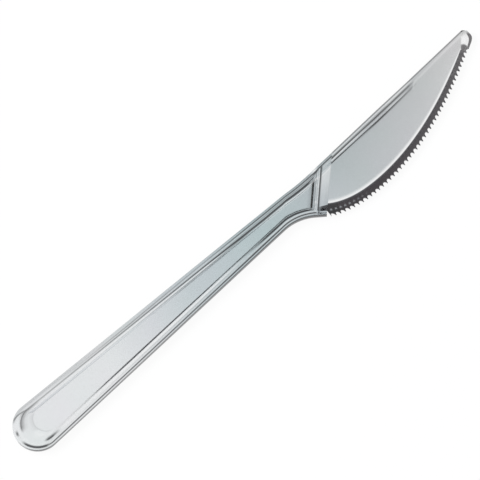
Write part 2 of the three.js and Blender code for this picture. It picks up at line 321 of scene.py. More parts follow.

# %% [markdown]
# ## Tones along the creases
# A crease is written as its distances in from the outline, its half width, and its tones of painted shade
# or painted glint. The distances and the tones are given at a few stations along the knife and run
# straight between them, because a moulded rim widens and turns slowly. Together they paint into the
# colour the dark lines and glints that a clear rim shows in soft light.

# %% Painted shade and glints on the handle's rim
HANDLE_STATIONS = (20, 50, 80, 95, 105, 114)
UPPER_RIM = (
    # Painted grey shade of the rounding near the butt
    ((0.70, 0.70, 0.70, 0.70, 0.70, 0.70), 0.75, (0.26, 0.10, 0.00, 0.00, 0.00, 0.00)),
    # Painted dark line along the outline
    ((0.10, 0.10, 0.05, 0.25, 0.45, 0.30), 0.30, (0.35, 0.20, 0.55, 0.45, 0.20, 0.40)),
    # Painted dark line on the land, where the rounding ends
    ((1.30, 1.30, 1.00, 1.00, 1.00, 0.95), 0.34, (0.10, 0.65, 0.45, 0.95, 1.05, 1.00)),
    # Its painted shadow near the neck
    ((1.70, 1.70, 1.70, 1.72, 1.60, 1.50), 0.25, (0.00, 0.00, 0.00, 0.45, 0.60, 0.60)),
    # Painted dark line at the inner edge of the land
    ((1.90, 1.95, 2.00, 2.20, 2.25, 2.10), 0.42, (0.55, 0.75, 1.00, 1.50, 2.00, 1.80)),
    # Painted glint just inside it
    ((2.35, 2.35, 2.35, 2.45, 2.45, 2.45), 0.25, (-0.50, -1.20, -0.90, 0.00, 0.00, 0.00)),
    # Painted shade on the slope along the handle, and a painted glint near the neck
    ((2.70, 2.70, 2.65, 2.65, 2.85, 2.75), 0.30, (0.25, 0.40, 0.70, 0.30, -0.50, -1.20)),
    # Painted glint at the foot of the slope
    ((3.10, 3.10, 3.10, 3.10, 3.10, 3.20), 0.30, (-0.60, -0.50, 0.00, 0.00, 0.00, 0.00)),
)
LOWER_RIM = (
    # Painted dark line where the rounding ends
    ((0.53, 0.55, 0.66, 0.74, 0.76, 0.76), 0.34, (1.00, 1.00, 1.10, 2.40, 1.50, 1.50)),
    # Faint painted line on the land, dark along the handle and a glint near the neck
    ((1.25, 1.39, 1.54, 1.30, 1.30, 1.30), 0.32, (0.12, 0.30, 0.40, -0.20, -0.60, -0.60)),
    # Painted glint at the inner edge of the land along the handle, and painted shade there near the neck
    ((1.90, 1.90, 1.94, 1.90, 1.92, 1.92), 0.42, (-0.60, -1.00, -0.80, 0.10, 3.00, 2.60)),
    # Painted glint on the slope near the butt, and painted shade near the neck
    ((2.80, 2.78, 2.80, 2.20, 2.50, 2.50), 0.60, (-0.50, -0.20, 0.05, 0.60, 0.45, 0.45)),
)
# Painted shade of the outer wall. A value above 1 carries the dark further up the wall.
LOWER_WALL = (2.40, 3.20, 5.00, 6.00, 7.00, 5.00)
print("creases on the rim:", len(UPPER_RIM), "on the spine side,", len(LOWER_RIM), "on the other")

# %% Painted shade and glints on the spine rib
RIB_STATIONS = (132, 150, 164.5, 167, 182)
SPINE_RIB = (
    # Painted dark line along the outline
    ((0.15, 0.10, 0.10, 0.10, 0.10), 0.32, (1.10, 0.70, 0.45, 0.40, 0.40)),
    # Painted glint on top of the rib
    ((0.65, 0.75, 0.65, 0.65, 0.65), 0.34, (-1.20, -1.10, -0.60, 0.00, 0.00)),
    # Painted shade on the slope of the rib
    ((1.45, 1.62, 1.45, 1.45, 1.45), 0.55, (1.20, 1.05, 0.75, 0.00, 0.00)),
    # Painted glint at its foot, which goes out as the rib ends
    ((2.00, 2.22, 2.15, 2.15, 2.15), 0.32, (-1.60, -2.20, 0.40, 0.00, 0.00)),
    # Painted dark line where the slope meets the blade
    ((2.30, 2.66, 2.60, 2.45, 2.45), 0.34, (1.20, 1.80, 0.60, 0.00, 0.00)),
    # Painted pale strip of light beside the rib
    ((2.90, 3.20, 3.20, 1.60, 1.10), 0.40, (-0.30, -0.30, -0.30, -0.25, -0.30)),
)


def tone_of(creases, stations, distance, x):
    """The creases' painted shade and glints together at this distance in from the outline, from -1 to 1.
    """
    total = 0
    for wheres, width, tones in creases:
        where = at_stations(x, stations, wheres)
        total += at_stations(x, stations, tones) * fading(distance, where, width)
    return max(-1, min(1, total))


def wall_toned(rows, shade):
    """Painted shade on the outer wall on the camera's side: dark along its middle and below, clear above.
    """
    rows[0][TONE] = rows[0][UNDER] = shade
    rows[1][TONE] = 0.4 * shade - 0.4
    rows[1][UNDER] = shade
    rows[2][TONE] = 0.25 * shade - 0.6
    rows[2][UNDER] = 0.5


print("tone on top of the rib, half way:", round(tone_of(SPINE_RIB, RIB_STATIONS, 0.65, 150), 2))

# %% [markdown]
# ## Rows of one side
# Every side of a column starts with the same quarter round up its outer wall. From there the rows go
# across the land, down the slope and onto the sunk face, with a small fillet at each bend, because a
# mould has no perfectly sharp corners and the fillets catch the light.

# %% Rows of one side of a column
ROUND_TURNS = (0, 30, 60, 78, 90)
RIM_ROWS = 1 + len(ROUND_TURNS)
LAND_STEPS = 6
LAND_EDGE_ROW = RIM_ROWS + LAND_STEPS + 1
SLOPE_ROW = LAND_EDGE_ROW + 3
FOOT_ROW = SLOPE_ROW + 2
SLOPE_SHARES = (0.36, 0.64)
FACE_STEPS = (0.4, 0.8)


def place(point, height, tone=0.0, band=0.0):
    return Vector((point.x, point.y, height, tone, band, 0))


def rounded_rim(point, inward, slant, top):
    """Rows 0 to 5, up the outer wall and over its rounding. A column square to the rim has slant 1."""
    rows = [place(point, MIDDLE)]
    for turn in ROUND_TURNS:
        out = EDGE_ROUND * (1 - heading(turn).x)
        rows.append(place(point + inward * slant * out, top - EDGE_ROUND * (1 - heading(turn).y)))
    return rows


def side_rows(point, inward, slant, land_edge, slope_foot, top, base, floor):
    """The 22 rows from the outline to the sunk face. floor is the bolster's height here, which wins."""
    rows = rounded_rim(point, inward, slant, top)
    across = (slope_foot - land_edge).normalized()
    run = (slope_foot - land_edge).length
    fall = (top - base) / run
    bend = min(FILLET, run / 3)
    land_start = Vector(rows[-1][:2])
    to_land = (land_edge - land_start).normalized()
    for step in range(1, LAND_STEPS + 1):
        rows.append(place(land_start.lerp(land_edge - to_land * bend, step / (LAND_STEPS + 1)), top))
    upper_share, lower_share = SLOPE_SHARES
    near, far = FACE_STEPS
    spots = (
        (land_edge - to_land * bend, top),
        (land_edge, top - fall * bend / 4),
        (land_edge + across * bend, top - fall * bend),
        (land_edge.lerp(slope_foot, upper_share), top - upper_share * (top - base)),
        (land_edge.lerp(slope_foot, lower_share), top - lower_share * (top - base)),
        (slope_foot - across * bend, base + fall * bend),
        (slope_foot, base + fall * bend / 4),
        (slope_foot + across * bend, base),
        (slope_foot + across * near, base),
        (slope_foot + across * far, base),
    )
    for spot, height in spots:
        rows.append(place(spot, max(height, floor)))
    return rows


def distances(rows, slant=1):
    """How far each row is in from row 0, square to the outline."""
    start = Vector(rows[0][:2])
    return [(Vector(row[:2]) - start).length / slant for row in rows]


def toned(rows, creases, stations, x, slant):
    """The same rows with the painted shade and glints of their creases."""
    for row, distance in zip(rows, distances(rows, slant)):
        row[TONE] = tone_of(creases, stations, distance, x)
        row[BAND] = min(0, row[TONE])
    return rows


print("rows of the land's edge, the slope and its foot:", LAND_EDGE_ROW, SLOPE_ROW, FOOT_ROW)

# %% [markdown]
# ## Columns at the butt
# At the butt the land's edge and the slope's foot are arcs about centres of their own, because the rim
# is wider there than along the sides. The columns run in along the rays of the butt's own arc.


# %% Arcs at the butt
def butt_arc(inset, end):
    """Centre and radius of an arc that lies inset from the sides and end millimetres from the butt."""
    taper = math.radians(HANDLE_TAPER)
    high = at_x(moved(upper_side, -inset), BUTT_RADIUS)
    tangent = high.y * math.cos(taper) + BUTT_RADIUS * math.sin(taper)
    centre = (end + tangent) / (1 + math.sin(taper))
    return Vector((centre, 0)), centre - end


land_arc = butt_arc(RIM_LAND, BUTT_LAND)
foot_arc = butt_arc(RIM_LAND + RIM_SLOPE_AT_BUTT, BUTT_LAND + BUTT_SLOPE)
print("radii of the two arcs in mm:", round(land_arc[1], 2), round(foot_arc[1], 2))


# %% Painted shade and glints at the butt
BUTT_TURN = 90 + HANDLE_TAPER


def foot_tone(index, turn):
    """The faint painted dark line at the slope's foot, which ends before the rim runs straight."""
    return 0.2 * fading(index, FOOT_ROW, 2.5) * (1 - rising(turn, 55, 25))


def upper_butt_tone(index, distance, turn, onward):
    """Painted shade or glint at a row and a distance in mm. onward is the share of the turn that is done.
    """
    drift = 0.35 + 1.8 * rising(turn, 50, 45)
    rim = rising(onward, 0.5, 0.4) * tone_of(UPPER_RIM, HANDLE_STATIONS, distance, 0)
    outer = 0.75 * rising(turn, 42, 15) * fading(distance, drift, 0.55)
    land = 0.85 * rising(turn, 8, 20) * fading(index, LAND_EDGE_ROW, 2.6)
    spot = fading(turn, 17, 11) * fading(distance, 0.9, 0.6)
    return max(rim, outer, land, spot, foot_tone(index, turn))


def lower_butt_tone(index, distance, turn, onward):
    rim = rising(onward, 0.6, 0.35) * tone_of(LOWER_RIM, HANDLE_STATIONS, distance, 0)
    outer = 1.3 * rising(turn, 2, 22) * (1 - rising(turn, 66, 20)) * fading(distance, 0.62, 0.62)
    land = 1.2 * rising(turn, 60, 18) * fading(index, LAND_EDGE_ROW, 3.2)
    # Painted pale light on the slope, taken off the painted shade
    pale = 0.6 * fading(index, SLOPE_ROW, 1.5) * rising(turn, 5, 20)
    return min(1, max(rim, outer, land, foot_tone(index, turn))) - pale


def butt_tones(rows, sign, turn):
    """Round the butt the painted shade and glints of the creases come and go as the rim turns against the
    light. sign is 1 on the spine side, and turn is in degrees, from 0 at the butt's end."""
    onward = turn / BUTT_TURN
    tone_here = upper_butt_tone if sign > 0 else lower_butt_tone
    for index, distance in enumerate(distances(rows)):
        rows[index][TONE] = tone_here(index, distance, turn, onward)
    if sign < 0:
        wall_toned(rows, between(0.5, LOWER_WALL[0], ease(onward)))
    return rows


# %% Columns at the butt
def butt_column(turn):
    """Upper and lower sides of the column that leaves the butt at a turn from its end, in degrees."""
    sides = []
    for sign in (1, -1):
        ray = heading(180 - sign * turn)
        point = butt_centre + BUTT_RADIUS * ray
        edge = land_arc[0] + land_arc[1] * ray
        foot = foot_arc[0] + foot_arc[1] * ray
        rows = side_rows(point, -ray, 1, edge, foot, THICKNESS, PANEL_TOP, PANEL_TOP)
        sides.append(butt_tones(rows, sign, turn))
    return sides


BUTT_COLUMNS = 20
columns = []
for step in range(BUTT_COLUMNS + 1):
    columns.append(butt_column(BUTT_TURN * step / BUTT_COLUMNS))
print("columns at the butt:", len(columns))

# %% [markdown]
# ## Columns of the handle and the bolster
# A column is named by the x of its upper end and the x of its lower end. Between the square columns of
# the handle and the slanted ones of the bolster both ends move on evenly, so the columns turn without
# crossing. The bolster's own columns are parallel to it, at set distances from the foot of its ramp.


# %% Painted glint and shade on the rim
# Where the rim runs into the spine it has a painted glint and two painted dark marks of shade beside it.
# Each is its x, its distance in from the outline, half its length, half its width, and its tone.
RIM_GLINT_AND_SHADE = (
    (124.9, 0.45, 1.7, 0.45, -1.3),
    (124.6, 1.15, 2.0, 0.4, 1.2),
    (127.5, 1.35, 1.3, 0.3, 0.9),
)


def with_rim_glint_and_shade(rows, slant):
    for row, distance in zip(rows[: LAND_EDGE_ROW + 1], distances(rows, slant)):
        for x, where, length, width, tone in RIM_GLINT_AND_SHADE:
            mark = fading(row[0], x, length) * fading(distance, where, width)
            row[TONE] = max(-1, min(1, between(row[TONE], tone, mark)))
            if tone < 0:
                row[BAND] = min(row[BAND], -mark)
    return rows


print("marks on the rim:", len(RIM_GLINT_AND_SHADE))


# %% One straight column between the two outlines
def straight_column(upper_x, lower_x, widths, top, base, floor):
    """widths are the land and the slope, on the upper and then on the lower side."""
    upper, upper_along = along_path(upper_path, upper_reach, upper_x)
    lower, lower_along = along_path(lower_path, lower_reach, lower_x)
    down = (lower - upper).normalized()
    sides = []
    for point, inward, tangent, (land, slope) in (
        (upper, down, upper_along, widths[0]),
        (lower, -down, lower_along, widths[1]),
    ):
        slant = 1 / abs(inward.cross(tangent))
        edge = point + inward * slant * land
        foot = point + inward * slant * (land + slope)
        rows = side_rows(point, inward, slant, edge, foot, top, base, floor)
        rows = toned(rows, LOWER_RIM if sides else UPPER_RIM, HANDLE_STATIONS, point.x, slant)
        sides.append(rows if sides else with_rim_glint_and_shade(rows, slant))
    wall_toned(sides[1], at_stations(lower.x, HANDLE_STATIONS, LOWER_WALL))
    return sides


def handle_widths(x):
    share = min(1, (x - BUTT_RADIUS) / (NECK - BUTT_RADIUS))
    return RIM_LAND, between(RIM_SLOPE_AT_BUTT, RIM_SLOPE_AT_NECK, share)


def where_line_meets(path, line):
    """The x at which a path crosses a line."""
    point, along = line
    for a, b in zip(path, path[1:]):
        before = along.cross(a - point)
        after = along.cross(b - point)
        if before * after <= 0 and before != after:
            return a.lerp(b, before / (before - after)).x
    return path[-1].x


print("slope in mm half way along the handle:", round(handle_widths(HANDLE_LENGTH / 2)[1], 2))

# %% The handle's columns
STRAIGHT_START = 13.5
TURN_START = 84
HANDLE_STEP = 2.6
foot_offset = BOLSTER_RAMP + BOLSTER_LAND + BOLSTER_SLOPE
first_slanted = moved(blade_foot, foot_offset + FILLET)
upper_turned = where_line_meets(upper_path, first_slanted)
lower_turned = where_line_meets(lower_path, first_slanted)
handle_count = round((TURN_START - STRAIGHT_START) / HANDLE_STEP)
TURN_COLUMNS = 26
for step in range(handle_count + 1):
    x = between(STRAIGHT_START, TURN_START, step / handle_count)
    widths = (handle_widths(x), handle_widths(x))
    columns.append(straight_column(x, x, widths, THICKNESS, PANEL_TOP, PANEL_TOP))
for step in range(1, TURN_COLUMNS):
    share = step / TURN_COLUMNS
    upper_x = between(TURN_START, upper_turned, share)
    lower_x = between(TURN_START, lower_turned, share)
    widths = (handle_widths(upper_x), handle_widths(lower_x))
    columns.append(straight_column(upper_x, lower_x, widths, THICKNESS, PANEL_TOP, PANEL_TOP))
print("columns to the bolster:", len(columns))

# %% [markdown]
# ## Columns of the bolster
# From the panel the bolster climbs to the height of the rim, runs flat, and falls down a ramp to the
# blade. Below the ramp a narrow rim follows the lip, and between the two the cutting band ends in a
# small sunk heel.

# %% The bolster's profile
# Each of its columns has a distance from the foot of the ramp, a height and a tone of painted shade or
# glint.
climb = (THICKNESS - PANEL_TOP) / BOLSTER_SLOPE
bolster_land_end = BOLSTER_RAMP + BOLSTER_LAND
bolster_profile = (
    (foot_offset + FILLET, PANEL_TOP, 0.2),
    (foot_offset, PANEL_TOP + climb * FILLET / 4, 0.4),
    (foot_offset - FILLET, PANEL_TOP + climb * FILLET, 0.45),
    (bolster_land_end + BOLSTER_SLOPE / 2, (PANEL_TOP + THICKNESS) / 2, 0),
    (bolster_land_end + 2 * FILLET, THICKNESS - 2 * climb * FILLET, 0.3),
    (bolster_land_end + FILLET, THICKNESS - climb * FILLET, 0.6),
    (bolster_land_end, THICKNESS - climb * FILLET / 4, -0.1),
    (bolster_land_end - FILLET, THICKNESS, -0.4),
    (BOLSTER_RAMP + 0.6 * BOLSTER_LAND, THICKNESS, 0.4),
    (BOLSTER_RAMP + 0.4 * BOLSTER_LAND, THICKNESS, -0.5),
)
ramp_fall = (THICKNESS - BLADE_TOP) / BOLSTER_RAMP
ramp_profile = (
    (BOLSTER_RAMP + FILLET, THICKNESS, 0.2),
    (BOLSTER_RAMP, THICKNESS - ramp_fall * FILLET / 4, 1),
    (BOLSTER_RAMP - FILLET, THICKNESS - ramp_fall * FILLET, 0.95),
    (0.78 * BOLSTER_RAMP, THICKNESS - 0.22 * ramp_fall * BOLSTER_RAMP, -0.1),
    (0.5 * BOLSTER_RAMP, THICKNESS - 0.5 * ramp_fall * BOLSTER_RAMP, -0.15),
    (FILLET, BLADE_TOP + ramp_fall * FILLET, 0),
    (0, BLADE_TOP + ramp_fall * FILLET / 4, 0.18),
)
print("columns across the bolster and down its ramp:", len(bolster_profile), len(ramp_profile))

# %% Rows over the lip and its heel
HEEL_WALL = 0.2
HEEL_LIFT = 0.12
HEEL_BOTTOM = EDGE_TOP + HEEL_LIFT
LIP_ROUND = 0.05
# Painted shade on the lip's rounding and at the heel's far edge
LIP_DARK = 0.9
LIP_LAND = (0.53, 0.47, 0.4, 0.3, 0.2, 0.1)


def lip_rows(line, ramp_height, depth):
    """Rows on the lip's side of a ramp column. depth is 0 where the heel starts and 1 at the cleft."""
    lip_point = crossing(line, lip_line)
    slant = 1 / abs(line[1].cross(lip_line[1]))
    rows = rounded_rim(lip_point, line[1], slant, THICKNESS)
    wall_toned(rows, LOWER_WALL[-1])
    rows[-1][TONE] = LIP_DARK
    rim_edge = crossing(line, lip_side)
    bottom = between(ramp_height, HEEL_BOTTOM, min(1, 3 * depth))
    rise = between(HEEL_RISE, LIP_CLEFT + CLEFT_RISE, depth)
    # Painted shade in the heel, deepening towards the cleft
    dark = min(1, 2 * depth)

    def heel(reach):
        return between(bottom, ramp_height, (reach - LIP_CLEFT) / (rise - LIP_CLEFT))

    spots = [(-back, THICKNESS, 0) for back in LIP_LAND]
    spots += [
        (0, THICKNESS - LIP_ROUND, 0.5 * dark),
        (HEEL_WALL, bottom, dark),
        (between(HEEL_WALL, LIP_CLEFT, 0.5), bottom, dark),
        (LIP_CLEFT, bottom, dark),
    ]
    for share in (0.3, 0.5, 0.75):
        reach = between(LIP_CLEFT, rise, share)
        spots.append((reach, heel(reach), dark))
    spots += [
        (rise - FILLET, heel(rise - FILLET), LIP_DARK * dark),
        (rise, ramp_height - 0.01, 0),
        (rise + FACE_STEPS[0], ramp_height, 0),
    ]
    for reach, height, shade in spots:
        rows.append(place(rim_edge + line[1] * reach, height, shade, shade))
    return rows


def bolster_tones(sides, tone):
    """Rows past the land's edge take the painted shade or glint of their column, but a banded row keeps a
    darker one.
    """
    for rows in sides:
        for row in rows[LAND_EDGE_ROW + 1 :]:
            row[TONE] = max(tone, row[TONE]) if row[BAND] else tone
    return sides


print("bottom of the heel in mm:", round(HEEL_BOTTOM, 3))

# %% The bolster's columns
for offset, height, tone in bolster_profile:
    line = moved(blade_foot, offset)
    upper_x = where_line_meets(upper_path, line)
    lower_x = where_line_meets(lower_path, line)
    share = ease((foot_offset - offset) / (foot_offset - BOLSTER_RAMP))
    upper_land = between(RIM_LAND, RIB_LAND, share)
    upper_slope = between(RIM_SLOPE_AT_NECK, RIB_SLOPE, share)
    widths = ((upper_land, upper_slope), (between(RIM_LAND, LIP_RIM, share), RIM_SLOPE_AT_NECK))
    sides = straight_column(upper_x, lower_x, widths, THICKNESS, PANEL_TOP, height)
    columns.append(bolster_tones(sides, tone))
for offset, height, tone in ramp_profile:
    line = moved(blade_foot, offset)
    upper_x = where_line_meets(upper_path, line)
    lower_x = min(where_line_meets(lower_path, line), lip_corner.x)
    widths = ((RIB_LAND, RIB_SLOPE), (LIP_RIM, RIM_SLOPE_AT_NECK))
    sides = straight_column(upper_x, lower_x, widths, THICKNESS, BLADE_TOP, height)
    depth = min(1, max(0, (BOLSTER_RAMP - offset) / BOLSTER_RAMP))
    columns.append(bolster_tones([sides[0], lip_rows(line, height, depth)], tone))
print("columns to the blade:", len(columns))

# %% [markdown]
# ## Columns of the blade
# The first blade column stands on the cleft beside the lip. After it come the teeth. A gullet is half an
# ellipse between two tooth points, and all teeth point straight across the knife, as the mould was cut.
# Rows 0 to 5 climb the wall of the teeth, rows 6 to 17 cross the bevelled band, and rows 18 to 21 turn
# over its ridge onto the face. From there the column goes on to the rib along the spine.

# %% Rows on the spine side
SQUARE_FROM = 150
SQUARE_TO = 174
FIRST_STEP = 0.5
RIB_LEFT = 0.05
# The rib's outer rounding is painted at least this dark, as shade
RIM_DARK = 0.5
upper_at_foot = where_line_meets(upper_path, blade_foot)
facet_top = at_x(spine, nose_top.x - NOSE_SHOULDER)


def spine_x(ridge_x):
    """Where the column that starts at this x on the ridge ends on the spine."""
    start = ridge_at(0).x
    end = ridge_at(1).x
    first = upper_at_foot + FIRST_STEP
    if ridge_x < SQUARE_FROM:
        return between(first, SQUARE_FROM, (ridge_x - start) / (SQUARE_FROM - start))
    if ridge_x < SQUARE_TO:
        return ridge_x
    return between(SQUARE_TO, facet_top.x, (ridge_x - SQUARE_TO) / (end - SQUARE_TO))


def rib_top(x):
    return between(THICKNESS, BLADE_TOP + RIB_LEFT, rising(x, RIB_END - RIB_FADE, RIB_FADE))


def spine_rows(x, towards):
    point, along = along_path(upper_path, upper_reach, x)
    inward = (towards - point).normalized()
    slant = 1 / abs(inward.cross(along))
    edge = point + inward * slant * RIB_LAND
    foot = point + inward * slant * (RIB_LAND + RIB_SLOPE)
    rows = side_rows(point, inward, slant, edge, foot, rib_top(x), BLADE_TOP, BLADE_TOP)
    rows = toned(rows, SPINE_RIB, RIB_STATIONS, x, slant)
    for row in rows[:RIM_ROWS]:
        row[TONE] = max(row[TONE], RIM_DARK)
    rows[-1][TONE] = rows[-1][BAND] = 0
    return rows


print("top of the rib in mm, before and past its end:", rib_top(SQUARE_FROM), rib_top(SQUARE_TO))

# %% Rows on the cutting side
BAND_STEPS = 12
RIDGE_ROW = RIM_ROWS + BAND_STEPS
# Painted shade of the band at the root and at the tip, and painted glints beside the ridge: how far in
# they reach and where they end, in mm, at the root and at the tip
PAINTED_BAND_DARKNESS = (1.04, 0.86)
RIDGE_GLINT = (0.5, 0.3)
GLINT_END = (1.5, 0.8)
# Shares of the height of a tooth's wall, and how far in from the outline its small rounding is there
TOOTH_WALL = ((0.4, 0), (0.75, 0), (0.9, 0.01), (0.97, 0.03), (1, 0.07))


def tooth_rows(point, height, ridge, towards, share):
    """All rows at a point of the toothed outline, which is at this share of the edge's length."""
    dark = between(*PAINTED_BAND_DARKNESS, share)
    rows = [place(point, MIDDLE, 0, dark)]
    inward = (ridge - point).normalized()
    wall = height - MIDDLE
    for part, out in TOOTH_WALL:
        rows.append(place(point + inward * out, MIDDLE + wall * part, 0, dark))
    start = Vector(rows[-1][:2])
    reach = (ridge - start).length
    for step in range(1, BAND_STEPS):
        part = step / (BAND_STEPS + 1)
        rows.append(place(start.lerp(ridge, part), between(height, BLADE_TOP, part), 0, dark))
    rows.append(place(ridge - inward * FILLET, between(height, BLADE_TOP, 1 - FILLET / reach), 0, dark))
    rows.append(place(ridge, BLADE_TOP - (BLADE_TOP - height) * FILLET / reach / 4, 0, 0.8 * dark))
    onward = (towards - ridge).normalized()
    # Painted glints on both faces just past the ridge, fading towards the face
    rows.append(place(ridge + onward * FILLET, BLADE_TOP, -1, -1))
    rows.append(place(ridge + onward * between(*RIDGE_GLINT, share), BLADE_TOP, -1, -0.8))
    rows.append(place(ridge + onward * between(*GLINT_END, share), BLADE_TOP, -0.1, -0.1))
    return rows


# %% Painted shade and light dots on the band
TOOTH_STEPS = 8
DARKEST_TEETH = 3
DOTTED_TEETH = 10
DOT_ROW = 10


def band_tones(rows, tooth, depth):
    """The band's painted shade is darkest near the root and along its ridge, and painted light dots lie
    where deep gullets near the root throw light onto it. depth is 0 at a tooth's point and 1 at the
    bottom of its gullet."""
    deep = ease((DARKEST_TEETH - tooth) / DARKEST_TEETH)
    dot = ease((DOTTED_TEETH - tooth) / (DOTTED_TEETH - DARKEST_TEETH)) * rising(depth, 0.6, 0.4)
    for index in range(RIDGE_ROW):
        spot = dot * fading(index, DOT_ROW, 2.4)
        edge = 0.85 * rising(index, RIDGE_ROW - 4, 2.5)
        rows[index][TONE] = max(deep * (1 - spot) - spot, edge)
        rows[index][BAND] *= 1 - 0.8 * spot
    return rows


def gullet_point(share_of_pitch):
    """The place across a pitch and the depth, both from 0 to 1, for an even walk round the gullet."""
    half_point = TOOTH_POINT / TOOTH_PITCH / 2
    turn = math.pi * share_of_pitch
    return 0.5 - (0.5 - half_point) * math.cos(turn), math.sin(turn)


print("a gullet's place and depth at a quarter turn:", [round(part, 2) for part in gullet_point(0.25)])

# %% The column at the cleft
CLEFT_ROW = RIM_ROWS + len(LIP_LAND) + 3
CLEFT_WALL = (0, 0.4, 0.75, 0.9, 1)
upper_rows, lip_side_rows = columns[-1]
cleft_height = lip_side_rows[CLEFT_ROW].z
cleft_rows = []
# Up to the heel the cleft's rows carry full painted shade
for share in CLEFT_WALL:
    cleft_rows.append(place(cleft, between(MIDDLE, cleft_height, share), 1, 1))
while len(cleft_rows) <= CLEFT_ROW:
    cleft_rows.append(place(cleft, cleft_height, 1, 1))
cleft_rows += [row.copy() for row in lip_side_rows[CLEFT_ROW + 1 :]]
columns.append([[row.copy() for row in upper_rows], cleft_rows])
print("height in mm at the cleft:", round(cleft_height, 2))

# %% The blade's columns
for tooth in range(tooth_count):
    before, _ = on_edge(tooth / tooth_count)
    after, _ = on_edge((tooth + 1) / tooth_count)
    for step in range(TOOTH_STEPS + 1):
        across, depth = gullet_point(step / TOOTH_STEPS)
        share = (tooth + (step + 0.5) / (TOOTH_STEPS + 1)) / tooth_count
        _, along = on_edge((tooth + across) / tooth_count)
        point = before.lerp(after, across) + Vector((0, TOOTH_DEPTH * depth))
        inset = TOOTH_DEPTH * depth * along.x
        height = between(EDGE_TOP, BLADE_TOP, (inset + SKIRT) / (band_width(share) + SKIRT))
        ridge = ridge_at(share)
        upper_x = spine_x(ridge.x)
        towards, _ = along_path(upper_path, upper_reach, upper_x)
        rows = tooth_rows(point, height, ridge, towards, share)
        columns.append([spine_rows(upper_x, ridge), band_tones(rows, tooth, depth)])
print("columns to the nose:", len(columns))

# %% [markdown]
# ## The nose
# Past the last tooth the blade ends in a small blunt nose, bevelled to the thickness of the edge. Its
# columns move from the last blade column to the nose's own outline, and then down its wall. Glints are
# painted on the bevel, except along the outline and in a round spot beside the notch, which are painted
# dark.

# %% The nose's outline
nose_middle = Vector((TIP, nose_low.y + NOSE_WIDTH / 2))
flank = nose_low + NOSE_FLANK * NOSE_LENGTH * nose_line[1]
notch = edge_end.lerp(nose_low, 0.5) + Vector((0, 2 * NOTCH_DEPTH))
nose_path = bezier([edge_end, notch, nose_low], 10)
nose_path += [flank]
nose_path += bezier([flank, Vector((TIP, (flank.y + nose_middle.y) / 2)), nose_middle], 10)[1:]
nose_path += [Vector((TIP, nose_top.y - NOSE_CHAMFER)), nose_top]
nose_back = nose_path[::-1]
nose_back_run = lengths(nose_back)
print("nose's outline in mm:", round(nose_back_run[-1], 2))

# %% Whole columns, from the spine to the edge
INNER_ROWS = 9


def whole_column(sides):
    """All rows of a column from the spine to the edge, with the inner rows evenly spread."""
    upper, lower = sides
    inner = []
    for step in range(1, INNER_ROWS + 1):
        inner.append(upper[-1].lerp(lower[-1], step / (INNER_ROWS + 1)))
    return upper + inner + lower[::-1]


sheet = [whole_column(sides) for sides in columns]
last_column = sheet[-1]
plan_run = lengths([Vector(row[:2]) for row in last_column])
print("last column in mm:", round(plan_run[-1], 2))

# %% The nose's columns
NOSE_SHARES = (0.06, 0.13, 0.2, 0.28, 0.36, 0.45, 0.54, 0.62, 0.69, 0.73, 1, 1)
OUTLINE_SHARE = 0.7
BEVEL_START = 0.16
BEVEL_FADE = 0.1
# Painted glint on the bevel and on both faces, and painted shade along the outline and in a round spot
# beside the notch
BEVEL_GLINT = 0.7
BOTH_GLINT = 0.8
NOSE_DARK = 0.85
SPOT_CENTRE = Vector((185.3, 1.95))
SPOT_RADIUS = 1.5
SPOT_FADE = 0.35
for number, share in enumerate(NOSE_SHARES):
    made = []
    wall = number == len(NOSE_SHARES) - 1
    for row, run in zip(last_column, plan_run):
        reach = run / plan_run[-1]
        target, _ = along_path(nose_back, nose_back_run, nose_back_run[-1] * reach)
        plan = Vector(row[:2]).lerp(target, share)
        height = MIDDLE if wall else between(row.z, min(row.z, EDGE_TOP), share)
        onward = rising(reach, BEVEL_START, BEVEL_FADE)
        spot = NOSE_DARK * ease((SPOT_RADIUS - (plan - SPOT_CENTRE).length) / SPOT_FADE)
        band = max(spot, NOSE_DARK * onward if share > OUTLINE_SHARE else 0)
        glint = BEVEL_GLINT * onward * (1 - band)
        made.append(place(plan, height, -glint, band or -BOTH_GLINT * onward))
    sheet.append(made)
print("sheet:", len(sheet), "columns of", len(sheet[0]), "rows")

# %% [markdown]
# ## The sheet, and its mirror image
# A grid gives the sheet's quads. Each of its vertices finds its column and row from where it lies in
# the grid, and is carried to its place on the knife. Where columns or rows meet in one point, as at the
# butt and at the cleft, the doubles are merged. The mirror operator then makes the other face, and the
# two join along the middle of the outer wall.

# %% Making the mesh
MM = 0.001
MERGE = 0.002
SHARP = math.radians(40)


